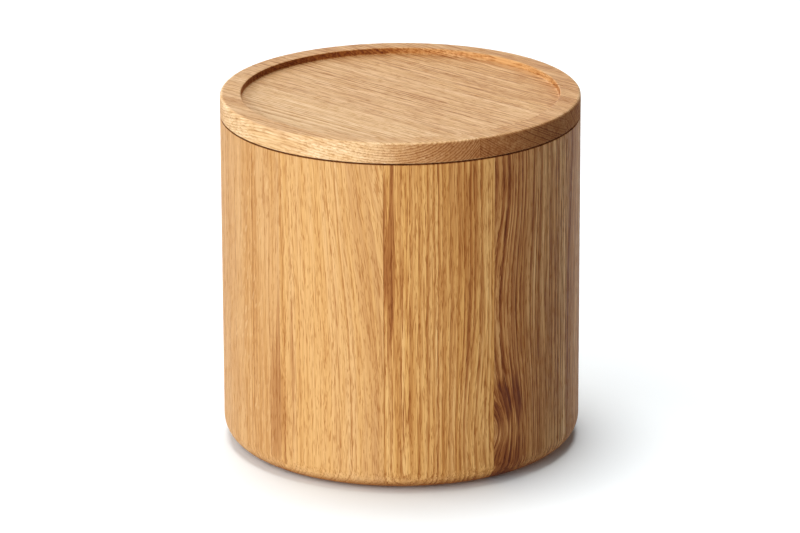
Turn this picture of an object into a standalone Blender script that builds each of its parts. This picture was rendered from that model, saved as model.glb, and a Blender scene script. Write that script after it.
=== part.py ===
"""Lathe-turned oak storage canister with a lift-off lid.

The body is coopered: ten wedge-shaped staves glued edge to edge, bored and turned
as one ring with a rounded foot, and closed by a base disc glued up from three boards.
The lid is turned from three boards. It has a shallow recess on top, a plug that drops
into the mouth, and a silicone sealing ring in a groove round the plug.

Metres, +Z up. The origin is the centre of the underside and the front is -Y.
"""

import math

import bmesh
import bpy

# Overall sizes
OUTER_DIAMETER = 0.1200
TOTAL_HEIGHT = 0.1200

# Body
WALL = 0.0100
STAVE_COUNT = 10
FIRST_JOINT_FROM_FRONT = math.radians(-5.5)
FOOT_RADIUS = 0.0080
RIM_OUTER_RADIUS = 0.0006
MOUTH_BEVEL = 0.0008
BASE_THICKNESS = 0.0080
BASE_EDGE_BEVEL = 0.0006

# Lid
LID_EDGE_HEIGHT = 0.0070
LID_TOP_RADIUS = 0.0010
LID_BOTTOM_RADIUS = 0.0004
RECESS_DIAMETER = 0.1060
RECESS_DEPTH = 0.0024
RECESS_EDGE_RADIUS = 0.0004
RECESS_COVE_RADIUS = 0.0007
PLUG_DEPTH = 0.0100
PLUG_CLEARANCE = 0.0011
PLUG_BEVEL = 0.0014

# Seal and its groove
GROOVE_BELOW_SEAT = 0.0030
GROOVE_HEIGHT = 0.0040
GROOVE_DEPTH = 0.0024
SEAL_LIP_COUNT = 2
SEAL_LIP_DEPTH = 0.0009

# Boards of the lid and of the base: the middle board's width, and how far its centre
# line lies from the axis. The outer boards take what is left of the disc.
BOARD_WIDTH = 0.0411
LID_MIDDLE_BOARD_SHIFT = -0.0008
BASE_MIDDLE_BOARD_SHIFT = 0.0030
LID_GRAIN_FROM_FRONT = math.radians(46.0)
BASE_GRAIN_FROM_FRONT = math.radians(-20.0)

# Clearance at every glue line and seat
JOINT_GAP = 0.0003

# Facets round a full turn, a whole number for each stave, and on each small arc
TURN_STEPS = 100
FOOT_ARC_STEPS = 7
EDGE_ARC_STEPS = 2
LIP_ARC_STEPS = 4

# How far a blank reaches past the turned surface that is cut from it
BLANK_OVERSIZE = 0.0040

# Values that follow from the sizes above
OUTER_RADIUS = OUTER_DIAMETER / 2
BORE_RADIUS = OUTER_RADIUS - WALL
LID_UNDERSIDE_Z = TOTAL_HEIGHT - LID_EDGE_HEIGHT
SEAT_Z = LID_UNDERSIDE_Z - JOINT_GAP
RECESS_RADIUS = RECESS_DIAMETER / 2
RECESS_FLOOR_Z = TOTAL_HEIGHT - RECESS_DEPTH
PLUG_RADIUS = BORE_RADIUS - PLUG_CLEARANCE
PLUG_END_Z = LID_UNDERSIDE_Z - PLUG_DEPTH
GROOVE_TOP_Z = LID_UNDERSIDE_Z - GROOVE_BELOW_SEAT
GROOVE_FLOOR_RADIUS = PLUG_RADIUS - GROOVE_DEPTH
STAVE_ANGLE = 2 * math.pi / STAVE_COUNT

# Colours as (red, green, blue) in linear light, and surface values
OAK_TONES = ((0.66, 0.41, 0.18), (0.60, 0.35, 0.15), (0.52, 0.29, 0.12))
LID_OAK_TONE = (0.68, 0.43, 0.22)
BASE_OAK_TONE = (0.58, 0.36, 0.17)
SILICONE_TONE = (0.80, 0.79, 0.75)
OAK_ROUGHNESS = 0.52
SILICONE_ROUGHNESS = 0.38


def clear_scene():
    for obj in list(bpy.data.objects):
        bpy.data.objects.remove(obj, do_unlink=True)


def arc(centre_r, centre_z, radius, start_deg, end_deg, steps):
    """Points (r, z) on an arc from one angle to the other, ends included.

    Angle 0 points away from the axis and 90 points up.
    """
    points = []
    for step in range(steps + 1):
        angle = math.radians(start_deg + (end_deg - start_deg) * step / steps)
        points.append((centre_r + radius * math.cos(angle), centre_z + radius * math.sin(angle)))
    return points


def body_profile():
    """The wall's closed outline: down the outside, round the foot, and up the bore."""
    outside = arc(
        OUTER_RADIUS - RIM_OUTER_RADIUS, SEAT_Z - RIM_OUTER_RADIUS, RIM_OUTER_RADIUS, 90, 0, EDGE_ARC_STEPS
    )
    foot = arc(OUTER_RADIUS - FOOT_RADIUS, FOOT_RADIUS, FOOT_RADIUS, 0, -90, FOOT_ARC_STEPS)
    bore = [
        (BORE_RADIUS, 0.0),
        (BORE_RADIUS, SEAT_Z - MOUTH_BEVEL),
        (BORE_RADIUS + MOUTH_BEVEL, SEAT_Z),
    ]
    return outside + foot + bore


def base_profile():
    """The base disc's outline from the axis on top to the axis underneath."""
    radius = BORE_RADIUS - JOINT_GAP
    return [
        (0.0, BASE_THICKNESS),
        (radius - BASE_EDGE_BEVEL, BASE_THICKNESS),
        (radius, BASE_THICKNESS - BASE_EDGE_BEVEL),
        (radius, 0.0),
        (0.0, 0.0),
    ]


def lid_profile():
    """The lid's outline from the axis in the recess to the axis under the plug."""
    recess = arc(
        RECESS_RADIUS - RECESS_COVE_RADIUS,
        RECESS_FLOOR_Z + RECESS_COVE_RADIUS,
        RECESS_COVE_RADIUS,
        -90,
        0,
        EDGE_ARC_STEPS,
    )
    inner_edge = arc(
        RECESS_RADIUS + RECESS_EDGE_RADIUS,
        TOTAL_HEIGHT - RECESS_EDGE_RADIUS,
        RECESS_EDGE_RADIUS,
        180,
        90,
        EDGE_ARC_STEPS,
    )
    top_edge = arc(
        OUTER_RADIUS - LID_TOP_RADIUS, TOTAL_HEIGHT - LID_TOP_RADIUS, LID_TOP_RADIUS, 90, 0, EDGE_ARC_STEPS
    )
    bottom_edge = arc(
        OUTER_RADIUS - LID_BOTTOM_RADIUS,
        LID_UNDERSIDE_Z + LID_BOTTOM_RADIUS,
        LID_BOTTOM_RADIUS,
        0,
        -90,
        EDGE_ARC_STEPS,
    )
    plug = [
        (PLUG_RADIUS, LID_UNDERSIDE_Z),
        (PLUG_RADIUS, GROOVE_TOP_Z),
        (GROOVE_FLOOR_RADIUS, GROOVE_TOP_Z),
        (GROOVE_FLOOR_RADIUS, GROOVE_TOP_Z - GROOVE_HEIGHT),
        (PLUG_RADIUS, GROOVE_TOP_Z - GROOVE_HEIGHT),
        (PLUG_RADIUS, PLUG_END_Z + PLUG_BEVEL),
        (PLUG_RADIUS - PLUG_BEVEL, PLUG_END_Z),
        (0.0, PLUG_END_Z),
    ]
    return [(0.0, RECESS_FLOOR_Z)] + recess + inner_edge + top_edge + bottom_edge + plug


def seal_profile():
    """The ring's closed outline: rounded lips down the outside and a flat inner wall.

    The lips reach the bore less the joint gap, and meet at the valley between them.
    """
    top_z = GROOVE_TOP_Z - JOINT_GAP
    height = GROOVE_HEIGHT - 2 * JOINT_GAP
    inner_radius = GROOVE_FLOOR_RADIUS + JOINT_GAP
    valley_radius = BORE_RADIUS - JOINT_GAP - SEAL_LIP_DEPTH
    steps = SEAL_LIP_COUNT * LIP_ARC_STEPS
    outside = []
    for step in range(steps + 1):
        swell = abs(math.sin(math.pi * step / LIP_ARC_STEPS))
        outside.append((valley_radius + SEAL_LIP_DEPTH * swell, top_z - height * step / steps))
    return outside + [(inner_radius, top_z - height), (inner_radius, top_z)]


def turned(name, profile, closed, start_angle=0.0):
    """A profile at +X, carried round the Z axis from the start angle."""
    count = len(profile)
    mesh = bpy.data.meshes.new(name)
    edges = [(i, (i + 1) % count) for i in range(count if closed else count - 1)]
    mesh.from_pydata([(r, 0.0, z) for r, z in profile], edges, [])
    obj = bpy.data.objects.new(name, mesh)
    obj.rotation_euler.z = start_angle
    bpy.context.scene.collection.objects.link(obj)
    screw = obj.modifiers.new("turn", "SCREW")
    screw.axis = "Z"
    screw.angle = 2 * math.pi
    screw.steps = TURN_STEPS
    screw.render_steps = TURN_STEPS
    screw.use_merge_vertices = True
    screw.merge_threshold = 0.00001
    screw.use_smooth_shade = True
    return obj


def prism(name, outline, low_z, high_z):
    """A blank with an outline of (x, y) points, anticlockwise from above, between two heights."""
    mesh = bpy.data.meshes.new(name)
    form = bmesh.new()
    corners = [form.verts.new((x, y, low_z)) for x, y in outline]
    floor = form.faces.new(corners)
    raised = bmesh.ops.extrude_face_region(form, geom=[floor])["geom"]
    tops = [item for item in raised if isinstance(item, bmesh.types.BMVert)]
    bmesh.ops.translate(form, verts=tops, vec=(0.0, 0.0, high_z - low_z))
    bmesh.ops.recalc_face_normals(form, faces=form.faces)
    form.to_mesh(mesh)
    form.free()
    obj = bpy.data.objects.new(name, mesh)
    bpy.context.scene.collection.objects.link(obj)
    return obj


def bake_modifiers(obj):
    """Keep what the modifiers make as the object's own mesh, smooth but for its edges."""
    bpy.context.view_layer.update()
    evaluated = obj.evaluated_get(bpy.context.evaluated_depsgraph_get())
    mesh = bpy.data.meshes.new_from_object(evaluated)
    obj.modifiers.clear()
    obj.data = mesh
    mesh.name = obj.name
    mesh.shade_smooth()
    mesh.set_sharp_from_angle(angle=math.radians(25.0))


def cut_from_blank(blank, envelope):
    """Turn a blank down to the part of it that lies inside the turned envelope."""
    cut = blank.modifiers.new("turning", "BOOLEAN")
    cut.operation = "INTERSECT"
    cut.solver = "EXACT"
    cut.object = envelope
    bake_modifiers(blank)


def material(name, tone, roughness):
    made = bpy.data.materials.new(name)
    made.use_nodes = True
    shader = made.node_tree.nodes["Principled BSDF"]
    shader.inputs["Base Color"].default_value = (*tone, 1.0)
    shader.inputs["Roughness"].default_value = roughness
    shader.inputs["Metallic"].default_value = 0.0
    return made


def give_material(obj, tone, roughness):
    obj.data.materials.clear()
    obj.data.materials.append(material(obj.name, tone, roughness))


def seen_from_above(angle_from_front):
    """The turn about Z, from +X, of a direction given from the front towards the right."""
    return angle_from_front - math.pi / 2


def make_stave(index, envelope):
    """One wedge of the coopered ring, sawn with its two joint faces half a gap back.

    The blank's long axis is Z and its middle lies along its own +X.
    """
    half_angle = STAVE_ANGLE / 2
    near = BORE_RADIUS * math.cos(half_angle) - BLANK_OVERSIZE
    far = OUTER_RADIUS + BLANK_OVERSIZE
    setback = JOINT_GAP / 2 / math.cos(half_angle)
    near_half_width = near * math.tan(half_angle) - setback
    far_half_width = far * math.tan(half_angle) - setback
    outline = [
        (near, -near_half_width),
        (far, -far_half_width),
        (far, far_half_width),
        (near, near_half_width),
    ]
    stave = prism(f"body_stave_{index + 1:02d}", outline, -BLANK_OVERSIZE, SEAT_Z + BLANK_OVERSIZE)
    middle = FIRST_JOINT_FROM_FRONT + (index + 0.5) * STAVE_ANGLE
    stave.rotation_euler.z = seen_from_above(middle)
    cut_from_blank(stave, envelope)
    give_material(stave, OAK_TONES[index % len(OAK_TONES)], OAK_ROUGHNESS)


def make_body():
    envelope = turned("body_envelope", body_profile(), True, seen_from_above(FIRST_JOINT_FROM_FRONT))
    for index in range(STAVE_COUNT):
        make_stave(index, envelope)
    bpy.data.objects.remove(envelope, do_unlink=True)


def make_boards(prefix, profile, grain_from_front, middle_shift, tone, low_z, high_z):
    """Three planks side by side, cut to one turned disc.

    Each plank's length lies along its own +X, and the joints half a gap to each side of
    the middle board's edges.
    """
    turn = seen_from_above(grain_from_front)
    envelope = turned(f"{prefix}_envelope", profile, False, turn)
    reach = OUTER_RADIUS + BLANK_OVERSIZE
    front_joint = middle_shift - BOARD_WIDTH / 2
    back_joint = middle_shift + BOARD_WIDTH / 2
    half_gap = JOINT_GAP / 2
    spans = {
        "front": (-reach, front_joint - half_gap),
        "middle": (front_joint + half_gap, back_joint - half_gap),
        "back": (back_joint + half_gap, reach),
    }
    boards = []
    for place, (low_y, high_y) in spans.items():
        outline = [(-reach, low_y), (reach, low_y), (reach, high_y), (-reach, high_y)]
        board = prism(f"{prefix}_board_{place}", outline, low_z - BLANK_OVERSIZE, high_z + BLANK_OVERSIZE)
        board.rotation_euler.z = turn
        cut_from_blank(board, envelope)
        give_material(board, tone, OAK_ROUGHNESS)
        boards.append(board)
    bpy.data.objects.remove(envelope, do_unlink=True)
    return boards


def make_base():
    make_boards(
        "base", base_profile(), BASE_GRAIN_FROM_FRONT, BASE_MIDDLE_BOARD_SHIFT, BASE_OAK_TONE, 0.0, BASE_THICKNESS
    )


def make_seal():
    seal = turned("lid_seal", seal_profile(), True)
    bake_modifiers(seal)
    give_material(seal, SILICONE_TONE, SILICONE_ROUGHNESS)
    return seal


def make_pivot(name):
    """An empty on the canister's axis at the seat, which the lid lifts and turns on."""
    pivot = bpy.data.objects.new(name, None)
    pivot.location.z = SEAT_Z
    pivot.empty_display_size = WALL
    bpy.context.scene.collection.objects.link(pivot)
    return pivot


def carry(parent, child):
    """Parent a piece that is already in its place."""
    bpy.context.view_layer.update()
    child.parent = parent
    child.matrix_parent_inverse = parent.matrix_world.inverted()


def make_lid():
    boards = make_boards(
        "lid", lid_profile(), LID_GRAIN_FROM_FRONT, LID_MIDDLE_BOARD_SHIFT, LID_OAK_TONE, PLUG_END_Z, TOTAL_HEIGHT
    )
    seal = make_seal()
    lift = make_pivot("lid_lift_axis")
    turn = make_pivot("lid_turn_axis")
    carry(lift, turn)
    carry(lift, seal)
    for board in boards:
        carry(turn, board)


def main():
    clear_scene()
    make_body()
    make_base()
    make_lid()
    bpy.context.view_layer.update()


main()
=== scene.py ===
"""Lathe-turned oak storage canister: the looks of every piece, the floor, the lamps and the camera.

The file is laid out as an add-on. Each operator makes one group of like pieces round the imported
frame. Lengths are metres, +Z is up, and the front of the canister looks along -Y.
"""

import math
from dataclasses import dataclass

import bmesh
import bpy
import numpy as np
from bpy.props import FloatProperty, FloatVectorProperty, PointerProperty
from mathutils import Matrix, Vector


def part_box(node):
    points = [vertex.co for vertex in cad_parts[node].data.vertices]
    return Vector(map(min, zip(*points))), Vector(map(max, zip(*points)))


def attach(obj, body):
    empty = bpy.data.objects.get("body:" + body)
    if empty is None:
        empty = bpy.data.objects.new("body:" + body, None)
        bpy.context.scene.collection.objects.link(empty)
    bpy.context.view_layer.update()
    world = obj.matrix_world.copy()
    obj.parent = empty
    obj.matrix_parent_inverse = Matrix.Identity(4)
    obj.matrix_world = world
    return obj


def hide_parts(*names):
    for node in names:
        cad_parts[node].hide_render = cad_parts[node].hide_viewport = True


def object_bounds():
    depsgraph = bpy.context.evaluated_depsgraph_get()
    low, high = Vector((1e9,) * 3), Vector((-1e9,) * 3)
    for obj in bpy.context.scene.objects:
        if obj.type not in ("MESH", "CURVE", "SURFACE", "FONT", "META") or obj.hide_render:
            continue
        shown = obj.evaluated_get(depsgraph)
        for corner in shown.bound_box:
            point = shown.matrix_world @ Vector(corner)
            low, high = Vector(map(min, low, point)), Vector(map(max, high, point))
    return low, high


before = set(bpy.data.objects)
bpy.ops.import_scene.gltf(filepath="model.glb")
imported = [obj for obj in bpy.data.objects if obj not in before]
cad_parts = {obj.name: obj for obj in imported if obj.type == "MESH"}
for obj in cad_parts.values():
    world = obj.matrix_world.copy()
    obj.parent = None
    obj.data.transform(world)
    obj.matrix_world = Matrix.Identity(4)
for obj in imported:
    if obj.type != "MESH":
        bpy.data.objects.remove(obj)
CAD_LOW, CAD_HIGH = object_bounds()

bl_info = {
    "name": "Turned Oak Canister",
    "version": (1, 0, 0),
    "blender": (4, 5, 0),
    "location": "3D View > Sidebar > Canister",
    "description": "Makes a coopered oak canister with a three-board lid and its studio stage",
    "category": "Add Mesh",
}

MM = 0.001

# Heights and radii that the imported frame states
OUTER_RADIUS = (CAD_HIGH.x - CAD_LOW.x) / 2
TOP_Z = CAD_HIGH.z
# The mouth and the lid's underside stay clear of each other, so that the seam reads dark
MOUTH_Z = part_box("body_stave_01")[1].z - 0.1 * MM
PLUG_END_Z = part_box("lid_board_middle")[0].z
BASE_TOP_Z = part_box("base_board_middle")[1].z
SEAL_LOW, SEAL_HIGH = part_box("lid_seal")

# The glue-up, as on the frame: angles run from the front towards +X
STAVE_NODES = sorted(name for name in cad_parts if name.startswith("body_stave"))
STAVE_ANGLE = 2 * math.pi / len(STAVE_NODES)
FIRST_JOINT = math.radians(-5.5)
LID_GRAIN = math.radians(46.0)
BASE_GRAIN = math.radians(-20.0)
BOARD_WIDTH = 41.1 * MM
LID_MIDDLE_SHIFT = -0.8 * MM
BASE_MIDDLE_SHIFT = 3.0 * MM

# Sizes that the frame's boxes don't state
EDGE_HEIGHT = 6.9 * MM
GROOVE_DEPTH = 2.4 * MM
SEAL_SEAT_GAP = 0.05 * MM
LIP_HEIGHT = 0.9 * MM
LIP_COUNT = 2

# How finely the surfaces are worked out
MERGE_DISTANCE = 0.0005 * MM
SHARP_ANGLE = math.radians(32.0)
ARC_STEPS = 8
FOOT_STEPS = 20
RUN_SPACING = 4.0 * MM
EDGE_SUPPORT = 0.25 * MM
STAVE_COLUMNS = 37
BOARD_COLUMNS = 121
SEAL_COLUMNS = 240
LIP_STEPS = 12


def linear(hex_colour):
    """An sRGB colour such as E2AC70 as linear red, green and blue."""
    parts = np.array([int(hex_colour[start : start + 2], 16) / 255 for start in (0, 2, 4)])
    return tuple(np.where(parts <= 0.04045, parts / 12.92, ((parts + 0.055) / 1.055) ** 2.4))


class CanisterSizes(bpy.types.PropertyGroup):
    """The sizes of the turned shapes that a user would change."""

    wall: FloatProperty(
        name="Wall", description="Thickness of the staves between the outside and the bore",
        default=10.0 * MM, min=4.0 * MM, max=20.0 * MM, unit="LENGTH",
    )
    foot_radius: FloatProperty(
        name="Foot rounding", description="Radius that rounds the outside into the foot",
        default=8.0 * MM, min=1.0 * MM, max=9.5 * MM, unit="LENGTH",
    )
    recess_radius: FloatProperty(
        name="Recess radius", description="Radius of the hollow in the lid's top",
        default=53.0 * MM, min=30.0 * MM, max=57.0 * MM, unit="LENGTH",
    )
    recess_depth: FloatProperty(
        name="Recess depth", description="Depth of the hollow below the lid's rim",
        default=2.4 * MM, min=0.5 * MM, max=5.0 * MM, unit="LENGTH",
    )
    lid_edge_radius: FloatProperty(
        name="Lid edge rounding", description="Radius of the lid's eased outer top edge",
        default=1.0 * MM, min=0.1 * MM, max=3.0 * MM, unit="LENGTH",
    )
    plug_clearance: FloatProperty(
        name="Plug clearance", description="Play between the lid's plug and the bore",
        default=1.1 * MM, min=0.3 * MM, max=2.0 * MM, unit="LENGTH",
    )
    glue_line: FloatProperty(
        name="Glue line", description="Width of the hairline where two boards are glued",
        default=0.03 * MM, min=0.005 * MM, max=0.2 * MM, unit="LENGTH",
    )


class CanisterColours(bpy.types.PropertyGroup):
    """The colours that a user would change."""

    oak_pale: FloatVectorProperty(
        name="Pale oak", description="The ground of the lid, before tannin darkens it", subtype="COLOR",
        default=linear("E9C292"), min=0.0, max=1.0,
    )
    oak_gold: FloatVectorProperty(
        name="Golden oak", description="The ground of the body, before tannin darkens it",
        subtype="COLOR", default=linear("E9B870"), min=0.0, max=1.0,
    )
    tannin: FloatVectorProperty(
        name="Tannin", description="What one measure of tannin and oil leaves of the ground",
        subtype="COLOR", default=linear("CCB39C"), min=0.0, max=1.0,
    )
    oak_ray: FloatVectorProperty(
        name="Ray flecks", description="Smooth pale flecks on quarter-sawn wood", subtype="COLOR",
        default=linear("F2CE9A"), min=0.0, max=1.0,
    )
    silicone: FloatVectorProperty(
        name="Silicone", description="The sealing ring", subtype="COLOR",
        default=linear("E9E7E0"), min=0.0, max=1.0,
    )
    floor: FloatVectorProperty(
        name="Floor", description="The studio floor", subtype="COLOR",
        default=linear("F3F8FA"), min=0.0, max=1.0,
    )


# Turned outlines, as arrays of (radius, height)


def outline(corners, closed):
    """A turned outline from its corners, each (radius, height, rounding, steps on the rounding).

    Each corner is replaced by the arc that touches both its sides, and each straight side gets
    points no further apart than the run spacing, with one close to each end of an arc. The arc's
    centre lies on the line that halves the corner, at rounding / sin(half the corner).
    """
    places = np.array([corner[:2] for corner in corners])
    pieces = []
    for number, (*_, rounding, steps) in enumerate(corners):
        here = places[number]
        ends = not closed and number in (0, len(corners) - 1)
        if ends or rounding == 0.0:
            pieces.append(here[None, :])
            continue
        back = places[number - 1] - here
        ahead = places[(number + 1) % len(places)] - here
        back /= np.linalg.norm(back)
        ahead /= np.linalg.norm(ahead)
        half = math.acos(float(back @ ahead)) / 2
        middle = (back + ahead) / np.linalg.norm(back + ahead)
        centre = here + middle * rounding / math.sin(half)
        first = here + back * rounding / math.tan(half) - centre
        way_round = ahead[0] * back[1] - ahead[1] * back[0]
        turn = math.copysign(math.pi - 2 * half, way_round) * np.linspace(0.0, 1.0, steps + 1)
        pieces.append(
            centre
            + np.stack(
                (
                    first[0] * np.cos(turn) - first[1] * np.sin(turn),
                    first[0] * np.sin(turn) + first[1] * np.cos(turn),
                ),
                axis=-1,
            )
        )
    filled = []
    for number, piece in enumerate(pieces):
        filled.append(piece)
        if closed or number + 1 < len(pieces):
            filled.append(run(piece[-1], pieces[(number + 1) % len(pieces)][0]))
    return np.concatenate(filled)


def run(start, end):
    """Points between two ends of a straight side: one near each end, the rest evenly spaced."""
    length = float(np.linalg.norm(end - start))
    if length < 3 * EDGE_SUPPORT:
        return np.empty((0, 2))
    count = max(2, math.ceil(length / RUN_SPACING) + 1)
    shares = np.linspace(EDGE_SUPPORT / length, 1 - EDGE_SUPPORT / length, count)
    return start + shares[:, None] * (end - start)


def wall_outline(sizes):
    """The ring's wall: down the outside, round the foot, up the bore and over the rim."""
    bore = OUTER_RADIUS - sizes.wall
    return outline(
        [
            (OUTER_RADIUS, MOUTH_Z, 0.3 * MM, 4),
            (OUTER_RADIUS, 0.0, sizes.foot_radius, FOOT_STEPS),
            (bore, 0.0, 0.1 * MM, 2),
            (bore, MOUTH_Z, 0.7 * MM, ARC_STEPS),
        ],
        closed=True,
    )


def base_outline(sizes):
    """The base disc from the axis on top, over its eased edge, to the axis underneath."""
    radius = OUTER_RADIUS - sizes.wall - sizes.glue_line
    return outline(
        [
            (0.0, BASE_TOP_Z, 0.0, 0),
            (radius, BASE_TOP_Z, 0.4 * MM, 4),
            (radius, 0.0, 0.1 * MM, 2),
            (0.0, 0.0, 0.0, 0),
        ],
        closed=False,
    )


def lid_outline(sizes):
    """The lid from the axis in the recess, over the rim and round the plug, to the axis below."""
    floor_z = TOP_Z - sizes.recess_depth
    underside_z = TOP_Z - EDGE_HEIGHT
    plug = OUTER_RADIUS - sizes.wall - sizes.plug_clearance
    groove = plug - GROOVE_DEPTH
    groove_top = SEAL_HIGH.z + SEAL_SEAT_GAP
    groove_end = SEAL_LOW.z - SEAL_SEAT_GAP
    return outline(
        [
            (0.0, floor_z, 0.0, 0),
            (sizes.recess_radius, floor_z, 0.7 * MM, ARC_STEPS),
            (sizes.recess_radius, TOP_Z, 0.4 * MM, ARC_STEPS),
            (OUTER_RADIUS, TOP_Z, sizes.lid_edge_radius, ARC_STEPS),
            (OUTER_RADIUS, underside_z, 0.15 * MM, 3),
            (plug, underside_z, 0.2 * MM, 3),
            (plug, groove_top, 0.1 * MM, 2),
            (groove, groove_top, 0.0, 0),
            (groove, groove_end, 0.0, 0),
            (plug, groove_end, 0.1 * MM, 2),
            (plug, PLUG_END_Z, 1.4 * MM, ARC_STEPS),
            (0.0, PLUG_END_Z, 0.0, 0),
        ],
        closed=False,
    )


def seal_outline(sizes):
    """The sealing ring: lips down the outside, each swelling as sin ** 0.8, then the flat back."""
    inner = OUTER_RADIUS - sizes.wall - sizes.plug_clearance - GROOVE_DEPTH + SEAL_SEAT_GAP
    outer = SEAL_HIGH.x
    share = np.linspace(0.0, 1.0, LIP_COUNT * LIP_STEPS + 1)
    swell = np.abs(np.sin(math.pi * LIP_COUNT * share)) ** 0.8
    heights = SEAL_HIGH.z - (SEAL_HIGH.z - SEAL_LOW.z) * share
    lips = np.stack((outer - LIP_HEIGHT * (1 - swell), heights), axis=-1)
    back = np.array([(inner, SEAL_LOW.z), (inner, SEAL_HIGH.z)])
    return np.concatenate((lips, back))


# Surfaces, as grids of points


def wedge_surface(turned, first, last, setback):
    """One stave: the outline carried from its first joint to its last.

    Each joint face is a plane, the setback away from the plane through the axis, so at a radius r
    the angle starts asin(setback / r) late and ends as much early.
    """
    radius = turned[:, :1]
    inset = np.arcsin(setback / radius)
    share = np.linspace(0.0, 1.0, STAVE_COLUMNS)[None, :]
    angle = first + inset + share * (last - first - 2 * inset)
    height = np.broadcast_to(turned[:, 1:], angle.shape)
    return np.stack((radius * np.sin(angle), -radius * np.cos(angle), height), axis=-1)


def side_board_surface(turned, edge):
    """A board beside the middle one: what a turned disc has beyond the line y = edge.

    At a radius r the angle from +X runs from asin(edge / r) to its supplement. The first and
    the last row lie at r = edge, where both ends meet in one point.
    """
    kept = turned[turned[:, 0] > edge * 1.0001]
    kept = np.concatenate(([(edge, kept[0, 1])], kept, [(edge, kept[-1, 1])]))
    radius = kept[:, :1]
    start = np.arcsin(np.minimum(edge / radius, 1.0))
    share = np.linspace(0.0, 1.0, BOARD_COLUMNS)[None, :]
    angle = start + share * (math.pi - 2 * start)
    height = np.broadcast_to(kept[:, 1:], angle.shape)
    return np.stack((radius * np.cos(angle), radius * np.sin(angle), height), axis=-1)


def middle_board_surface(turned, low, high):
    """The board across the axis: slices of the turned disc at even steps of y.

    In the slice at y a point of radius r lies at x = sqrt(r * r - y * y), so only radii past
    the board's further edge are kept, and each slice closes flat between its two sides.
    """
    reach = max(-low, high)
    kept = turned[turned[:, 0] > reach * 1.02]
    across = np.linspace(low, high, BOARD_COLUMNS // 2)[None, :]
    side = np.sqrt(kept[:, :1] ** 2 - across**2)
    loop = np.concatenate((side, -side[::-1]))
    height = np.concatenate((kept[:, 1:], kept[::-1, 1:]))
    return np.stack(
        (loop, np.broadcast_to(across, loop.shape), np.broadcast_to(height, loop.shape)), axis=-1
    )


def ring_surface(turned, columns):
    """The outline carried once round the axis, at even steps of the angle."""
    angle = np.arange(columns)[None, :] * 2 * math.pi / columns
    height = np.broadcast_to(turned[:, 1:], (len(turned), columns))
    return np.stack((turned[:, :1] * np.cos(angle), turned[:, :1] * np.sin(angle), height), axis=-1)


def grid_faces(numbers):
    """Four-cornered faces between neighbouring point numbers of a grid."""
    corners = (numbers[:-1, :-1], numbers[1:, :-1], numbers[1:, 1:], numbers[:-1, 1:])
    return np.stack(corners, axis=-1).reshape(-1, 4).tolist()


def tube_faces(shape):
    """Faces of a grid whose rows close into a loop, with a flat face over its two ends."""
    numbers = np.arange(shape[0] * shape[1]).reshape(shape[:2])
    sides = grid_faces(np.vstack((numbers, numbers[:1])))
    return sides + [numbers[::-1, 0].tolist(), numbers[:, -1].tolist()]


def side_board_faces(shape):
    """Faces of a side board's grid, with one flat face over its sawn side."""
    numbers = np.arange(shape[0] * shape[1]).reshape(shape[:2])
    sawn = np.concatenate((numbers[:, 0], numbers[-2:0:-1, -1]))
    return grid_faces(numbers) + [sawn[::-1].tolist()]


def ring_faces(shape):
    """Faces of a grid that closes into a loop both ways."""
    numbers = np.arange(shape[0] * shape[1]).reshape(shape[:2])
    numbers = np.vstack((numbers, numbers[:1]))
    return grid_faces(np.hstack((numbers, numbers[:, :1])))


def turned_about_z(points, angle):
    """The points turned about the Z axis."""
    cosine, sine = math.cos(angle), math.sin(angle)
    return points @ np.array([[cosine, sine, 0.0], [-sine, cosine, 0.0], [0.0, 0.0, 1.0]])


def make_piece(name, points, faces, finish, node, body):
    """An object at the origin that stands for one frame node and moves with its body."""
    mesh = bpy.data.meshes.new(name)
    mesh.from_pydata(points.reshape(-1, 3).tolist(), [], faces)
    form = bmesh.new()
    form.from_mesh(mesh)
    bmesh.ops.remove_doubles(form, verts=form.verts, dist=MERGE_DISTANCE)
    form.to_mesh(mesh)
    form.free()
    mesh.shade_smooth()
    mesh.set_sharp_from_angle(angle=SHARP_ANGLE)
    mesh.materials.append(finish)
    piece = bpy.data.objects.new(name, mesh)
    bpy.context.scene.collection.objects.link(piece)
    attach(piece, body)
    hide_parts(node)
    return piece


# Materials


def add(tree, kind, inputs, output=0, **settings):
    """Add one node with its settings, and set or link its inputs by name or number."""
    made = tree.nodes.new("ShaderNode" + kind)
    for name, value in settings.items():
        setattr(made, name, value)
    for key, value in inputs.items():
        if isinstance(value, bpy.types.NodeSocket):
            tree.links.new(value, made.inputs[key])
        else:
            made.inputs[key].default_value = value
    return made.outputs[output]


@dataclass
class Board:
    """How one board was cut from its log, and how its wood is marked.

    In the board's own frame, in millimetres, Z runs along the fibre, X outwards (or up, on a flat
    board) and Y across. The pith's line crosses it at (depth, across) at the height of the waist,
    leans by so many millimetres per 100 mm and bows by so many at 100 mm from the waist. The ring
    is how wide a year's growth is, and the warp how far slow drifts carry the fibre.

    Tannin is how dark the wood is all over, 0 being its ground. Bands, fibre, lines and pores say
    how much each of those darkens it, in the same measure, and rays how much the ray flecks show.
    Gold is the share of the golden ground. Even is how strong the weakest year's line is, where
    the strongest is 1. Streak is the width of the fibre's streaks.
    A swell is an oval where the fibre is pushed aside: (across, height, half width, half height,
    push). A stain is an oval, brown or (below 0) pale: (across, height, half width, half height,
    tannin).
    """

    seed: int
    pith: tuple
    ring: float
    lean: tuple = (0.0, 0.0)
    bow: tuple = (0.0, 0.0)
    waist: float = 50.0
    gold: float = 1.0
    tannin: float = 0.4
    bands: float = 1.2
    fibre: float = 0.6
    streak: float = 0.6
    lines: float = 0.8
    even: float = 0.15
    pores: float = 0.6
    rays: float = 0.0
    warp: float = 1.6
    swells: tuple = ()
    stains: tuple = ()


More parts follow.
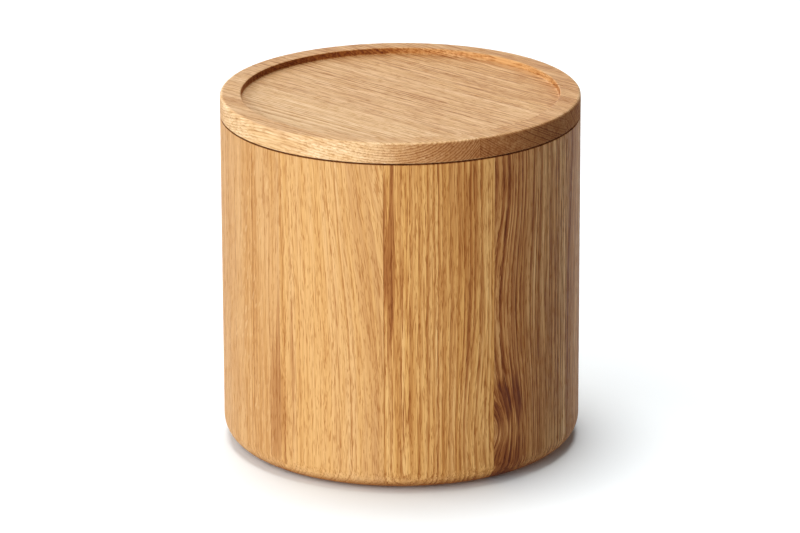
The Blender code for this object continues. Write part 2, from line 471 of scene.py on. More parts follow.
STAVES = {
    "body_stave_01": Board(
        1, (61.5, -11.5), 2.0, gold=0.9, tannin=0.38, bands=1.3, fibre=1.1, lines=1.35, even=0.35,
        warp=0.9, swells=((10.5, 20.0, 6.0, 26.0, -2.5),),
        stains=(
            (-16.2, 82.0, 2.2, 28.0, 1.2),
            (9.5, 84.0, 4.0, 32.0, 0.6),
            (2.0, 60.0, 8.0, 120.0, 0.1),
        ),
    ),
    "body_stave_02": Board(
        2, (50.0, -60.0), 2.0, gold=0.5, tannin=0.84, bands=1.7, fibre=1.6, lines=1.7, even=0.5,
        pores=0.7,
        swells=(
            (-18.0, 104.0, 18.0, 26.0, 5.0),
            (-18.0, 16.0, 16.0, 26.0, 6.0),
            (-19.0, 19.0, 6.0, 8.0, 5.0),
        ),
        stains=(
            (-11.0, 60.0, 2.5, 80.0, 0.4),
            (-19.0, 104.0, 5.0, 14.0, 0.5),
            (-18.0, 28.5, 9.5, 8.5, 1.7),
            (-18.0, 7.0, 9.5, 8.0, 1.5),
            (13.5, 60.0, 11.0, 140.0, -0.45),
        ),
    ),
    "body_stave_03": Board(
        3, (62.0, 95.0), 1.8, gold=0.5, tannin=1.05, bands=2.8, fibre=1.6, lines=0.9, pores=0.4,
        rays=0.3, swells=((-18.0, 125.0, 16.0, 45.0, 5.0),), stains=((-17.5, 80.0, 1.4, 70.0, 0.9),),
    ),
    "body_stave_04": Board(4, (30.0, 6.0), 1.4, bow=(12.0, 0.0), waist=30.0, tannin=0.5),
    "body_stave_05": Board(5, (58.0, -70.0), 1.5, gold=0.7, tannin=0.4, bands=0.9, lines=0.6, rays=0.4),
    "body_stave_06": Board(6, (20.0, -34.0), 1.3, bow=(0.0, -8.0), waist=90.0, gold=0.8, tannin=0.5),
    "body_stave_07": Board(7, (36.0, 4.0), 1.3, bow=(-14.0, 3.0), waist=52.0, tannin=0.7),
    "body_stave_08": Board(8, (54.0, 90.0), 1.7, gold=0.6, tannin=0.4, bands=0.9, lines=0.6, rays=0.4),
    "body_stave_09": Board(
        9, (55.0, -66.0), 1.6, gold=0.5, tannin=0.38, bands=0.8, fibre=0.5, lines=0.4, pores=0.4,
        rays=0.4, stains=((17.5, 24.0, 2.5, 26.0, 0.6),),
    ),
    "body_stave_10": Board(
        10, (20.0, 35.0), 1.2, bow=(0.0, -2.0), waist=20.0, gold=0.65, tannin=0.2, bands=0.5,
        fibre=0.45, lines=0.35, pores=0.55, swells=((12.0, 130.0, 14.0, 55.0, -8.0),),
        stains=((-17.0, 26.0, 3.5, 26.0, 0.6), (17.0, 60.0, 5.0, 90.0, 0.3)),
    ),
}
LID_BOARDS = {
    "lid_board_front": Board(
        11, (136.0, -45.0), 0.85, waist=0.0, gold=0.1, tannin=-0.15, bands=0.9, fibre=0.5, streak=1.1,
        lines=0.5, even=0.5, pores=0.4,
    ),
    "lid_board_middle": Board(
        12, (250.0, 72.0), 0.75, waist=0.0, gold=0.1, tannin=0.12, bands=1.1, fibre=0.8, streak=1.1,
        lines=0.7, pores=0.5,
    ),
    "lid_board_back": Board(
        13, (150.0, 60.0), 0.9, waist=0.0, lean=(2.0, 0.0), gold=0.2, tannin=0.22, bands=1.2, fibre=0.9,
        streak=1.1, lines=0.7, pores=0.5,
    ),
}
BASE_BOARDS = {
    "base_board_front": Board(14, (-60.0, -30.0), 1.2, waist=0.0, gold=0.6, tannin=0.3),
    "base_board_middle": Board(15, (90.0, 10.0), 1.1, waist=0.0, lean=(4.0, 0.0), gold=0.7, tannin=0.4),
    "base_board_back": Board(16, (-40.0, 60.0), 1.4, waist=0.0, gold=0.65, tannin=0.35),
}

# How far apart in the noise two boards lie whose seeds are neighbours
SEED_STEP = 17.3

# The sizes of the oak's patterns in millimetres: across the fibre, along it
DRIFT_CELL = (24.0, 150.0)
BAND_CELL = (3.0, 100.0)
STREAK_LENGTH = 16.0
PORE_CELL = (0.45, 3.0)
FLOCK_CELL = (16.0, 30.0)
YEARS_VARY_OVER = 8.0

# A ray sheet's cell in millimetres: round the pith where it is this far off, outwards, along
RAY_DISTANCE = 60.0
RAY_CELL = (2.0, 1.1, 4.0)

# How dark a place is by the part of the year, from one early wood to the next: (part, level)
EARLY_WOOD = ((0.0, 0.2), (0.08, 1.0), (0.28, 0.9), (0.45, 0.25), (0.75, 0.0), (1.0, 0.1))

# Measures of tannin: where the face cuts the fibre, and more in the early wood there
END_GRAIN_TANNIN = 1.4
OPEN_END_TANNIN = 1.0

# The means of the patterns of bands and streaks
MEAN_BAND = 0.5
MEAN_STREAK = 0.26

# A stain is full within the first share of its half sizes and gone past the second. The bands
# fray its edge by so many shares.
STAIN_FULL = 0.4
STAIN_GONE = 1.2
STAIN_FRAY = 5.0

# Oil on fine-sanded wood: half dull, duller in the pores and on end grain
OAK_ROUGHNESS = 0.52
OPEN_ROUGHNESS = 0.85
PORE_DEPTH = 0.03 * MM


def upright_fibre(angle):
    """The turn that brings a stave's outward direction to X and leaves its fibre along Z."""
    return Matrix.Rotation(math.pi / 2 - angle, 3, "Z")


def flat_fibre(angle):
    """The turn that brings a flat board's fibre to Z, its upper side to X and its width to Y."""
    return Matrix.Rotation(math.pi / 2, 3, "Y") @ Matrix.Rotation(math.pi / 2 - angle, 3, "Z")


def per_cell(across, along):
    """How often a pattern repeats in a millimetre, from the size of its cell."""
    return (1 / across, 1 / across, 1 / along)


def from_oval(tree, place, across, centre, half_width, half_height):
    """The place across and along the board from an oval's centre, in shares of its half sizes."""
    offset = add(tree, "VectorMath", {0: place, 1: (0.0, -across, -centre)}, operation="ADD")
    shares = (0.0, 1 / half_width, 1 / half_height)
    return add(tree, "VectorMath", {0: offset, 1: shares}, operation="MULTIPLY")


def fibre_place(tree, board, turn):
    """The place in the board's frame in millimetres, with the fibre's drifts taken out.

    A swell pushes the fibre sideways by its push times exp(-q * q), where q is the distance from
    its centre in shares of its half sizes.
    """
    place = add(tree, "TexCoord", {}, output="Object")
    turning = {"Vector": place, "Rotation": turn.to_euler("XYZ"), "Scale": (1 / MM,) * 3}
    local = add(tree, "Mapping", turning)
    seed = (SEED_STEP * board.seed,) * 3
    drift_at = add(tree, "VectorMath", {0: local, 1: per_cell(*DRIFT_CELL), 2: seed},
                   operation="MULTIPLY_ADD")
    drift = add(tree, "TexNoise", {"Vector": drift_at, "Scale": 1.0, "Detail": 3.0, "Roughness": 0.45},
                output="Color")
    straight = add(tree, "VectorMath", {0: drift, 1: (board.warp, board.warp, 0.0), 2: local},
                   operation="MULTIPLY_ADD")
    for *oval, push in board.swells:
        away = from_oval(tree, local, *oval)
        squared = add(tree, "VectorMath", {0: away, 1: away}, output="Value", operation="DOT_PRODUCT")
        minus = add(tree, "Math", {0: squared, 1: -1.0}, operation="MULTIPLY")
        fading = add(tree, "Math", {0: minus}, operation="EXPONENT")
        straight = add(tree, "VectorMath", {0: fading, 1: (0.0, -push, 0.0), 2: straight},
                       operation="MULTIPLY_ADD")
    return straight


def from_pith(tree, board, straight):
    """The place from the pith, whose line is a parabola in the height over the waist."""
    height = add(tree, "SeparateXYZ", {0: straight}, output="Z")
    along = add(tree, "Math", {0: height, 1: 0.01, 2: -0.01 * board.waist}, operation="MULTIPLY_ADD")
    along_squared = add(tree, "Math", {0: along, 1: along}, operation="MULTIPLY")
    leaning = add(tree, "VectorMath", {0: along, 1: (*board.lean, 0.0), 2: (*board.pith, 0.0)},
                  operation="MULTIPLY_ADD")
    pith = add(tree, "VectorMath", {0: along_squared, 1: (*board.bow, 0.0), 2: leaning},
               operation="MULTIPLY_ADD")
    return add(tree, "VectorMath", {0: straight, 1: pith}, operation="SUBTRACT")


def growth_rings(tree, board, radius, fibre):
    """Early wood: how dark the porous start of the year makes a place, by the year's strength.

    The year's number is the radius over the ring width, with some years hurried and some slow, and
    the fibre frays each line. Strong years are few: the strength grows with the square of a chance.
    """
    years_vary = add(tree, "TexNoise", {"W": radius, "Scale": 1 / YEARS_VARY_OVER, "Detail": 2.0},
                     noise_dimensions="1D")
    even_rings = add(tree, "Math", {0: radius, 1: 1 / board.ring, 2: SEED_STEP * board.seed},
                     operation="MULTIPLY_ADD")
    frayed = add(tree, "Math", {0: fibre, 1: 0.9, 2: even_rings}, operation="MULTIPLY_ADD")
    rings = add(tree, "Math", {0: years_vary, 1: 3.2, 2: frayed}, operation="MULTIPLY_ADD")
    part_of_year = add(tree, "Math", {0: rings}, operation="FRACT")
    year = add(tree, "Math", {0: rings}, operation="FLOOR")
    year_chance = add(tree, "TexWhiteNoise", {"W": year}, noise_dimensions="1D")
    early = add(tree, "ValToRGB", {0: part_of_year})
    grey_stops(early.node, EARLY_WOOD)
    squared = add(tree, "Math", {0: year_chance, 1: year_chance}, operation="MULTIPLY")
    strength = add(tree, "MapRange", {0: squared, 3: board.even, 4: 1.0})
    return add(tree, "Math", {0: early, 1: strength}, operation="MULTIPLY")


def open_pores(tree, staggered, early_line):
    """Open vessels: soft dashes 0.4 mm wide and 1 to 4 mm long, most of them in early wood.

    Real vessels are 0.3 mm wide. They are drawn a little wider so that they show.
    """
    cells = add(tree, "VectorMath", {0: staggered, 1: per_cell(*PORE_CELL)}, operation="MULTIPLY")
    chance = add(tree, "TexNoise", {"Vector": cells, "Scale": 1.0, "Detail": 1.0, "Roughness": 0.4})
    likely = add(tree, "Math", {0: early_line, 1: 0.12, 2: chance}, operation="MULTIPLY_ADD")
    return add(tree, "MapRange", {0: likely, 1: 0.54, 2: 0.7}, interpolation_type="SMOOTHSTEP")


def ray_flecks(tree, board, grown, outward, radius, facing):
    """Smooth pale flecks of the rays, 1 mm wide and 4 mm long, leaning across the fibre.

    A ray is a sheet that runs out from the pith, so it shows where the face lies along it, on
    quarter-sawn wood, and hardly at all where the face lies across it.
    """
    spread = add(tree, "SeparateXYZ", {0: grown}, output="X")
    sideways = spread.node.outputs["Y"]
    height = spread.node.outputs["Z"]
    bearing = add(tree, "Math", {0: sideways, 1: spread}, operation="ARCTAN2")
    leaning = add(tree, "Math", {0: height, 1: -0.3, 2: radius}, operation="MULTIPLY_ADD")
    sheets_at = add(tree, "CombineXYZ", {0: bearing, 1: leaning, 2: height})
    round_it, outwards, along = RAY_CELL
    sheet_scale = (RAY_DISTANCE / round_it, 1 / outwards, 1 / along)
    scaled = add(tree, "VectorMath", {0: sheets_at, 1: sheet_scale}, operation="MULTIPLY")
    noise = add(tree, "TexNoise", {"Vector": scaled, "Scale": 1.0, "Detail": 1.0, "Roughness": 0.5})
    sheets = add(tree, "MapRange", {0: noise, 1: 0.6, 2: 0.75}, interpolation_type="SMOOTHSTEP")
    flocks_at = add(tree, "VectorMath", {0: grown, 1: per_cell(*FLOCK_CELL)}, operation="MULTIPLY")
    flocks = add(tree, "TexNoise", {"Vector": flocks_at, "Scale": 1.0, "Detail": 1.0})
    flocked = add(tree, "MapRange", {0: flocks, 1: 0.45, 2: 0.6}, interpolation_type="SMOOTHSTEP")
    radial = add(tree, "VectorMath", {0: outward}, operation="NORMALIZE")
    flat_sawn = add(tree, "VectorMath", {0: facing, 1: radial}, output="Value", operation="DOT_PRODUCT")
    flat_share = add(tree, "Math", {0: flat_sawn}, operation="ABSOLUTE")
    quarter = add(tree, "MapRange", {0: flat_share, 1: 0.5, 2: 0.1, 3: 0.0, 4: board.rays})
    seen = add(tree, "Math", {0: sheets, 1: quarter}, operation="MULTIPLY")
    return add(tree, "Math", {0: seen, 1: flocked}, operation="MULTIPLY")


def hollow_painted_shade(tree, radius, floor_height, fibre, end_grain):
    """Painted shade and tone in and round the lid's hollow, and a painted golden bounce on its wall.

    The wall gets painted shade of a third of a measure, up to 1.1 where it cuts the fibre's ends, and the
    same share is added to its golden ground, a painted warm bounce. The hollow's floor is darker by 0.15,
    and its last 5 mm towards the wall get painted shade rising to 0.35. The rim is darker by 0.35 too.
    That darkening fades out over the rim's outer 1.2 mm, which leaves a painted highlight on the rounded
    edge.
    """
    place = add(tree, "TexCoord", {}, output="Object")
    flat_place = add(tree, "VectorMath", {0: place, 1: (1.0, 1.0, 0.0)}, operation="MULTIPLY")
    from_axis = add(tree, "VectorMath", {0: flat_place}, output="Value", operation="LENGTH")
    height = add(tree, "SeparateXYZ", {0: place}, output="Z")

    # Painted shade on the recess wall: a third of a measure, up to 1.1 on the fibre's ends, uneven with
    # the fibre
    inside = add(tree, "MapRange", {0: from_axis, 1: radius + 0.3 * MM, 2: radius})
    above = add(tree, "MapRange", {0: height, 1: floor_height + 0.05 * MM, 2: floor_height + 0.6 * MM})
    on_wall = add(tree, "Math", {0: inside, 1: above}, operation="MULTIPLY")
    uneven = add(tree, "MapRange", {0: fibre, 1: 0.35, 2: 0.65, 3: 0.6, 4: 1.4})
    cut_ends = add(tree, "Math", {0: end_grain, 1: 0.75, 2: 0.35}, operation="MULTIPLY_ADD")
    unevenly_cut = add(tree, "Math", {0: cut_ends, 1: uneven}, operation="MULTIPLY")
    torn_wall_and_painted_shade = add(tree, "Math", {0: on_wall, 1: unevenly_cut}, operation="MULTIPLY")

    # The floor darker by 0.15, with painted shade rising to 0.35 in its last 5 mm towards the wall; the
    # rim stays at 0.35
    tone_and_shade_ramp = {0: from_axis, 1: radius - 5 * MM, 2: radius - 0.5 * MM, 3: 0.15, 4: 0.35}
    recess_tone_and_painted_shade = add(tree, "MapRange", tone_and_shade_ramp, interpolation_type="SMOOTHSTEP")
    darker = add(tree, "Math", {0: torn_wall_and_painted_shade, 1: recess_tone_and_painted_shade}, operation="MAXIMUM")
    top_side = add(tree, "MapRange", {0: height, 1: floor_height - 0.2 * MM, 2: floor_height - 0.1 * MM})
    # The darkening fades out over the rim's outer 1.2 mm: a painted highlight on the rounded edge
    edge = add(tree, "MapRange", {0: from_axis, 1: OUTER_RADIUS - 0.3 * MM, 2: OUTER_RADIUS - 1.2 * MM})
    upper = add(tree, "Math", {0: edge, 1: top_side}, operation="MULTIPLY")
    return torn_wall_and_painted_shade, add(tree, "Math", {0: upper, 1: darker}, operation="MULTIPLY")


def cut_across(tree, turn):
    """The way the face looks in the board's frame, and how squarely it cuts the fibre."""
    facing_out = add(tree, "TexCoord", {}, output="Normal")
    facing = add(tree, "Mapping", {"Vector": facing_out, "Rotation": turn.to_euler("XYZ")},
                 vector_type="NORMAL")
    along_fibre = add(tree, "SeparateXYZ", {0: facing}, output="Z")
    share = add(tree, "Math", {0: along_fibre}, operation="ABSOLUTE")
    end_grain = add(tree, "MapRange", {0: share, 1: 0.45, 2: 1.0}, interpolation_type="SMOOTHSTEP")
    return facing, end_grain


def stain_share(tree, straight, band, oval):
    """How much of a stain a place has, from its distance to the oval's centre."""
    away = from_oval(tree, straight, *oval)
    distance = add(tree, "VectorMath", {0: away}, output="Value", operation="LENGTH")
    frayed = add(tree, "Math", {0: band, 1: STAIN_FRAY, 2: distance}, operation="MULTIPLY_ADD")
    mean_fray = STAIN_FRAY * MEAN_BAND
    return add(tree, "MapRange", {0: frayed, 1: mean_fray + STAIN_GONE, 2: mean_fray + STAIN_FULL},
               interpolation_type="SMOOTHSTEP")


def oil_and_relief(tree, shader, early_line, fibre, pores, end_grain):
    """The oil's gloss and the relief: fibre half as deep as the pores, early wood a quarter."""
    duller = add(tree, "Math", {0: pores, 1: end_grain}, operation="MAXIMUM")
    rough = add(tree, "MapRange", {0: duller, 3: OAK_ROUGHNESS, 4: OPEN_ROUGHNESS})
    tree.links.new(rough, shader.inputs["Roughness"])
    shader.inputs["IOR"].default_value = 1.5
    shader.inputs["Specular IOR Level"].default_value = 0.2
    shader.inputs["Metallic"].default_value = 0.0
    sunk = add(tree, "Math", {0: early_line, 1: 0.25, 2: pores}, operation="MULTIPLY_ADD")
    relief = add(tree, "Math", {0: fibre, 1: 0.5, 2: sunk}, operation="MULTIPLY_ADD")
    bump = add(tree, "Bump", {"Height": relief, "Strength": 1.0, "Distance": PORE_DEPTH}, invert=True)
    tree.links.new(bump, shader.inputs["Normal"])


def oiled_oak_turned(name, board, turn, hollow=None):
    """European oak, turned, sanded fine and oiled.

    The eye gets a pale honey ground, brown rows of open pores where each year's growth starts,
    short pore dashes and long streaks along the fibre, and darker, rougher end grain. Each of
    them adds its tannin, and the colour is ground * tannin colour ** amount, as light through
    more and more of a brown oil. Everything is one solid pattern round the pith of the log, so
    it runs on over edges and into the bore.
    """
    colours = bpy.context.scene.canister_colours
    finish = bpy.data.materials.new(name)
    finish.use_nodes = True
    tree = finish.node_tree
    shader = tree.nodes["Principled BSDF"]
    seed = (SEED_STEP * board.seed, 0.0, 0.0)

    straight = fibre_place(tree, board, turn)
    grown = from_pith(tree, board, straight)
    outward = add(tree, "VectorMath", {0: grown, 1: (1.0, 1.0, 0.0)}, operation="MULTIPLY")
    radius = add(tree, "VectorMath", {0: outward}, output="Value", operation="LENGTH")

    # Bands: streaks of tone from 3 mm wide and as long as the board down to 0.4 mm wide
    band_at = add(tree, "VectorMath", {0: grown, 1: per_cell(*BAND_CELL), 2: seed},
                  operation="MULTIPLY_ADD")
    band = add(tree, "TexNoise", {"Vector": band_at, "Scale": 1.0, "Detail": 3.0, "Roughness": 0.6})

    # Fibre: fine dark streaks, really 0.25 mm wide, drawn wider so that they show. The bands shift
    # them along the board, so that neighbours start at different heights.
    staggered = add(tree, "VectorMath", {0: band, 1: (0.0, 0.0, 60.0), 2: grown}, operation="MULTIPLY_ADD")
    streak_scale = per_cell(board.streak, STREAK_LENGTH)
    fibre_at = add(tree, "VectorMath", {0: staggered, 1: streak_scale, 2: seed}, operation="MULTIPLY_ADD")
    fibre = add(tree, "TexNoise", {"Vector": fibre_at, "Scale": 1.0, "Detail": 3.0, "Roughness": 0.65})
    streaks = add(tree, "MapRange", {0: fibre, 1: 0.4, 2: 0.75}, interpolation_type="SMOOTHSTEP")

    early_line = growth_rings(tree, board, radius, fibre)
    pores = open_pores(tree, staggered, early_line)

    # End grain: where the face lies across the fibre it drinks more oil
    facing, end_grain = cut_across(tree, turn)
    open_ends = add(tree, "Math", {0: end_grain, 1: early_line}, operation="MULTIPLY")

    # What darkens the wood, each with its measure. The means of bands and streaks are taken off
    # the sum, so that on average they leave the wood as dark as it was.
    darkening = [
        (band, board.bands),
        (streaks, board.fibre),
        (early_line, board.lines),
        (pores, board.pores),
        (end_grain, END_GRAIN_TANNIN),
        (open_ends, OPEN_END_TANNIN),
    ]
    for *oval, tannin in board.stains:
        darkening.append((stain_share(tree, straight, band, oval), tannin))
    gilding = {0: band, 1: 0.35, 2: 0.65, 3: board.gold - 0.15, 4: board.gold + 0.15}
    gold_share = add(tree, "MapRange", gilding)
    # In the lid: painted shade on the recess wall and towards it on the floor, and a painted golden bounce
    # on the wall
    if hollow:
        torn_wall_and_painted_shade, recess_tone_and_painted_shade = hollow_painted_shade(tree, *hollow, fibre, end_grain)
        darkening.append((recess_tone_and_painted_shade, 1.0))
        gold_share = add(tree, "Math", {0: torn_wall_and_painted_shade, 1: gold_share}, operation="ADD", use_clamp=True)
    amount = board.tannin - MEAN_BAND * board.bands - MEAN_STREAK * board.fibre
    for share, measure in darkening:
        amount = add(tree, "Math", {0: share, 1: measure, 2: amount}, operation="MULTIPLY_ADD")

    ground = add(tree, "Mix", {0: gold_share, 6: (*colours.oak_pale, 1.0), 7: (*colours.oak_gold, 1.0)},
                 output=2, data_type="RGBA")
    oiled = add(tree, "Gamma", {"Color": (*colours.tannin, 1.0), "Gamma": amount})
    stained = add(tree, "Mix", {0: 1.0, 6: ground, 7: oiled}, output=2, data_type="RGBA",
                  blend_type="MULTIPLY")
    flecks = ray_flecks(tree, board, grown, outward, radius, facing)
    flecked = add(tree, "Mix", {0: flecks, 6: stained, 7: (*colours.oak_ray, 1.0)}, output=2,
                  data_type="RGBA")
    tree.links.new(flecked, shader.inputs["Base Color"])
    oil_and_relief(tree, shader, early_line, fibre, pores, end_grain)
    return finish


def grey_stops(ramp_node, stops):
    """Set a colour ramp to grey levels at positions."""
    ramp = ramp_node.color_ramp
    while len(ramp.elements) < len(stops):
        ramp.elements.new(1.0)
    for element, (position, level) in zip(ramp.elements, stops):
        element.position = position
        element.color = (level, level, level, 1.0)


SILICONE_CLOUD_COLOUR = "C9C5B8"


def silicone_moulded(name):
    """Food-grade silicone rubber, moulded: whitish, a little see-through, with a satin skin."""
    colours = bpy.context.scene.canister_colours
    finish = bpy.data.materials.new(name)
    finish.use_nodes = True
    tree = finish.node_tree
    shader = tree.nodes["Principled BSDF"]
    place = add(tree, "TexCoord", {}, output="Object")
    dust = add(tree, "TexNoise", {"Vector": place, "Scale": 1 / (0.6 * MM), "Detail": 2.0})
    cloud = add(tree, "TexNoise", {"Vector": place, "Scale": 1 / (9 * MM), "Detail": 1.0})
    shade = add(tree, "MapRange", {0: cloud, 1: 0.3, 2: 0.7, 3: 0.0, 4: 0.12})
    clouded = (*linear(SILICONE_CLOUD_COLOUR), 1.0)
    tone = add(tree, "Mix", {0: shade, 6: (*colours.silicone, 1.0), 7: clouded}, output=2,
               data_type="RGBA")
    tree.links.new(tone, shader.inputs["Base Color"])
    rough = add(tree, "MapRange", {0: dust, 1: 0.3, 2: 0.7, 3: 0.34, 4: 0.44})
    tree.links.new(rough, shader.inputs["Roughness"])
    shader.inputs["IOR"].default_value = 1.41
    shader.inputs["Metallic"].default_value = 0.0
    shader.inputs["Subsurface Weight"].default_value = 0.3
    shader.inputs["Subsurface Radius"].default_value = (1.0, 0.9, 0.8)
    shader.inputs["Subsurface Scale"].default_value = 1.5 * MM
    return finish


def studio_paper(name):
    """Matt white background paper.

    The view and gloss see it white. Its bounce is dimmed, as black cards beside a set do, so
    that the canister's far side stays in shade. From behind it lets the view through, so the
    underside shows.
    """
    colours = bpy.context.scene.canister_colours
    finish = bpy.data.materials.new(name)
    finish.use_nodes = True
    tree = finish.node_tree
    shader = tree.nodes["Principled BSDF"]
    shader.inputs["Roughness"].default_value = 0.9
    seen = seen_directly(tree)
    tone = add(tree, "Mix", {0: seen, 6: (*linear(FLOOR_BOUNCE_COLOUR), 1.0), 7: (*colours.floor, 1.0)},
               output=2, data_type="RGBA")
    tree.links.new(tone, shader.inputs["Base Color"])
    behind = add(tree, "NewGeometry", {}, output="Backfacing")
    through = add(tree, "BsdfTransparent", {})
    mixed = add(tree, "MixShader", {0: behind, 1: shader.outputs[0], 2: through})
    tree.links.new(mixed, tree.nodes["Material Output"].inputs["Surface"])
    return finish


def seen_directly(tree):
    """1 for what the camera sees, straight, mirrored or through glass, and 0 for bounced light."""
    camera = add(tree, "LightPath", {}, output="Is Camera Ray")
    mirrored = add(tree, "Math", {0: camera, 1: camera.node.outputs["Is Glossy Ray"]}, operation="MAXIMUM")
    through = camera.node.outputs["Is Transmission Ray"]
    return add(tree, "Math", {0: mirrored, 1: through}, operation="MAXIMUM")


# Operators


class CANISTER_OT_staves(bpy.types.Operator):
    """Make the ten staves of the coopered body"""

    bl_idname = "canister.staves"
    bl_label = "Body Staves"

    def execute(self, context):
        sizes = context.scene.canister_sizes
        turned = wall_outline(sizes)
        for number, node in enumerate(STAVE_NODES):
            first = FIRST_JOINT + number * STAVE_ANGLE
            points = wedge_surface(turned, first, first + STAVE_ANGLE, sizes.glue_line / 2)
            turn = upright_fibre(first + STAVE_ANGLE / 2)
            finish = oiled_oak_turned(f"oiled oak, turned: {node}", STAVES[node], turn)
            faces = tube_faces(points.shape)
            make_piece(f"oak_{node}", points, faces, finish, node, "canister")
        return {"FINISHED"}


def make_disc(prefix, turned, grain, shift, boards, body, glue_line, hollow=None):
    """The three boards of a turned disc, whose fibre runs along the grain's direction.

    The middle board's centre lies beside the axis by the shift. The hollow is its radius and the
    height of its floor.
    """
    low = shift - BOARD_WIDTH / 2
    high = shift + BOARD_WIDTH / 2
    half_line = glue_line / 2
    middle = middle_board_surface(turned, low + half_line, high - half_line)
    back = side_board_surface(turned, high + half_line)
    front = turned_about_z(side_board_surface(turned, half_line - low), math.pi)
    made = {
        "front": (front, side_board_faces(front.shape)),
        "middle": (middle, tube_faces(middle.shape)),
        "back": (back, side_board_faces(back.shape)),
    }
    for place, (points, faces) in made.items():
        node = f"{prefix}_board_{place}"
        finish = oiled_oak_turned(f"oiled oak, turned: {node}", boards[node], flat_fibre(grain), hollow)
        placed = turned_about_z(points, grain - math.pi / 2)
        make_piece(f"oak_{node}", placed, faces, finish, node, body)


class CANISTER_OT_base(bpy.types.Operator):
    """Make the base disc of three boards"""

    bl_idname = "canister.base"
    bl_label = "Base Boards"

    def execute(self, context):
        sizes = context.scene.canister_sizes
        make_disc("base", base_outline(sizes), BASE_GRAIN, BASE_MIDDLE_SHIFT, BASE_BOARDS, "canister",
                  sizes.glue_line)
        return {"FINISHED"}


class CANISTER_OT_lid(bpy.types.Operator):
    """Make the recessed lid of three boards, with its plug"""

    bl_idname = "canister.lid"
    bl_label = "Lid Boards"

    def execute(self, context):
        sizes = context.scene.canister_sizes
        hollow = (sizes.recess_radius, TOP_Z - sizes.recess_depth)
        make_disc("lid", lid_outline(sizes), LID_GRAIN, LID_MIDDLE_SHIFT, LID_BOARDS, "lid",
                  sizes.glue_line, hollow)
        return {"FINISHED"}


class CANISTER_OT_seal(bpy.types.Operator):
    """Make the silicone ring in the plug's groove"""

    bl_idname = "canister.seal"
    bl_label = "Sealing Ring"

    def execute(self, context):
        points = ring_surface(seal_outline(context.scene.canister_sizes), SEAL_COLUMNS)
        finish = silicone_moulded("silicone, moulded")
        make_piece("silicone_lid_seal", points, ring_faces(points.shape), finish, "lid_seal", "seal")
        return {"FINISHED"}


# The stage. The camera's values come from fitting the canister's edges at 800 by 533.
CAMERA_LENS_MM = 224.9
CAMERA_SENSOR_MM = 36.0
CAMERA_ELEVATION = math.radians(18.27)
CAMERA_DISTANCE = 1.68
CAMERA_AIM = Vector((-0.3 * MM, 0.0, 58.6 * MM))
CAMERA_ROLL = -0.0035
FLOOR_HALF_SIZE = 6.0
FLOOR_Z = -0.2 * MM
FLOOR_BOUNCE_COLOUR = "6E6E6E"
SURROUNDINGS_LEVEL = 0.06

# The lamps, each with its azimuth and elevation in degrees, its level, and its width in degrees
CANISTER_LAMPS = {
    "key_softbox": (-38.0, 12.0, 1.0, 30.0),
    "top_softbox": (-172.0, 68.0, 0.59, 40.0),
    "side_fill": (48.0, 20.0, 0.19, 90.0),
    "edge_softbox": (-150.0, 15.0, 0.3, 50.0),
}
FLOOR_LAMPS = {
    "floor_key": (-56.0, 14.0, 1.25, 105.0),
    "floor_top": (-170.0, 78.0, 0.88, 34.0),
}
BOUNCE_LAMP = (-38.0, -75.0, 0.25, 40.0)


def add_sun(name, azimuth, elevation, level, spread, receivers):
    """A distant soft lamp. At level 1 it lights a white face square to it as white.

    The azimuth runs from the front towards +X, as the staves' angles do.
    """
    lamp = bpy.data.lights.new(name, "SUN")
    lamp.energy = level * math.pi
    lamp.angle = math.radians(spread)
    holder = bpy.data.objects.new(name, lamp)
    away = math.radians(azimuth)
    rise = math.radians(elevation)
    back = Vector((math.sin(away) * math.cos(rise), -math.cos(away) * math.cos(rise), math.sin(rise)))
    holder.location = back
    holder.rotation_euler = back.to_track_quat("Z", "Y").to_euler()
    holder.light_linking.receiver_collection = receivers
    bpy.context.scene.collection.objects.link(holder)
    return holder


def light_linked(name, piece, state):
    """A collection that tells lamps to light only the piece, or everything but it."""
    linked = bpy.data.collections.new(name)
    linked.objects.link(piece)
    linked.collection_objects[0].light_linking.link_state = state
    return linked


def make_floor():
    """The floor, a square just below the foot."""
    half = FLOOR_HALF_SIZE
    mesh = bpy.data.meshes.new("studio_floor")
    corners = [(x, y, FLOOR_Z) for x, y in ((-half, -half), (half, -half), (half, half), (-half, half))]
    mesh.from_pydata(corners, [], [(0, 1, 2, 3)])
    mesh.materials.append(studio_paper("studio paper, matt"))
    floor = bpy.data.objects.new("studio_floor", mesh)
    bpy.context.scene.collection.objects.link(floor)
    return floor


def make_lamps(floor):
    """The canister's lamps, the floor's, and one for the light that the floor throws back.

    The floor has lamps of its own, so that it shows a soft shadow round the foot and no long one,
    as on a light table. The bounce lamp shines through it on the foot and the underside.
    """
    all_but_floor = light_linked("all_but_floor", floor, "EXCLUDE")
    floor_alone = light_linked("floor_alone", floor, "INCLUDE")
    for name, place in CANISTER_LAMPS.items():
        add_sun(name, *place, all_but_floor)
    for name, place in FLOOR_LAMPS.items():
        add_sun(name, *place, floor_alone)
    bounce = add_sun("floor_bounce", *BOUNCE_LAMP, all_but_floor)
    bounce.light_linking.blocker_collection = all_but_floor


def make_surroundings():
    """Surroundings that the view and gloss see white, and that light the canister only a little."""
    world = bpy.data.worlds.new("studio_surroundings")
    world.use_nodes = True
    tree = world.node_tree
    backdrop = tree.nodes["Background"]
    backdrop.inputs["Color"].default_value = (1.0, 1.0, 1.0, 1.0)
    strength = add(tree, "MapRange", {0: seen_directly(tree), 3: SURROUNDINGS_LEVEL, 4: 1.0})
    tree.links.new(strength, backdrop.inputs["Strength"])
    bpy.context.scene.world = world


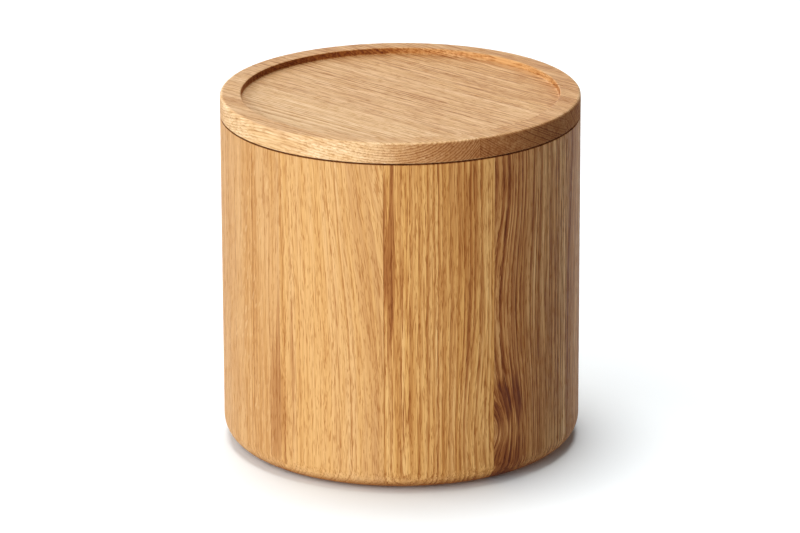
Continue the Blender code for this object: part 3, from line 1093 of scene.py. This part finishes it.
def make_camera():
    """The camera, at the photograph's angle."""
    lens = bpy.data.cameras.new("camera")
    lens.lens = CAMERA_LENS_MM
    lens.sensor_width = CAMERA_SENSOR_MM
    camera = bpy.data.objects.new("camera", lens)
    back = Vector((0.0, -math.cos(CAMERA_ELEVATION), math.sin(CAMERA_ELEVATION)))
    camera.location = CAMERA_AIM + back * CAMERA_DISTANCE
    aim = back.to_track_quat("Z", "Y").to_matrix() @ Matrix.Rotation(CAMERA_ROLL, 3, "Z")
    camera.rotation_euler = aim.to_euler()
    bpy.context.scene.collection.objects.link(camera)
    bpy.context.scene.camera = camera


class CANISTER_OT_stage(bpy.types.Operator):
    """Make the pale floor, the soft lamps, the surroundings and the camera"""

    bl_idname = "canister.stage"
    bl_label = "Stage"

    def execute(self, context):
        make_lamps(make_floor())
        make_surroundings()
        make_camera()
        context.scene.view_settings.view_transform = "Standard"
        return {"FINISHED"}


class CANISTER_PT_pieces(bpy.types.Panel):
    """The canister's sizes, colours and pieces"""

    bl_idname = "CANISTER_PT_pieces"
    bl_label = "Oak Canister"
    bl_space_type = "VIEW_3D"
    bl_region_type = "UI"
    bl_category = "Canister"

    def draw(self, context):
        for group in (context.scene.canister_sizes, context.scene.canister_colours):
            box = self.layout.box()
            for name in group.__annotations__:
                box.prop(group, name)
        for operator in PIECE_OPERATORS:
            self.layout.operator(operator.bl_idname)


PIECE_OPERATORS = (
    CANISTER_OT_staves,
    CANISTER_OT_base,
    CANISTER_OT_lid,
    CANISTER_OT_seal,
    CANISTER_OT_stage,
)
CLASSES = (CanisterSizes, CanisterColours, *PIECE_OPERATORS, CANISTER_PT_pieces)


def register():
    for made in CLASSES:
        bpy.utils.register_class(made)
    bpy.types.Scene.canister_sizes = PointerProperty(type=CanisterSizes)
    bpy.types.Scene.canister_colours = PointerProperty(type=CanisterColours)


def unregister():
    del bpy.types.Scene.canister_colours
    del bpy.types.Scene.canister_sizes
    for made in reversed(CLASSES):
        bpy.utils.unregister_class(made)


def main():
    register()
    bpy.ops.canister.staves()
    bpy.ops.canister.base()
    bpy.ops.canister.lid()
    bpy.ops.canister.seal()
    bpy.ops.canister.stage()


if __name__ == "__main__":
    main()
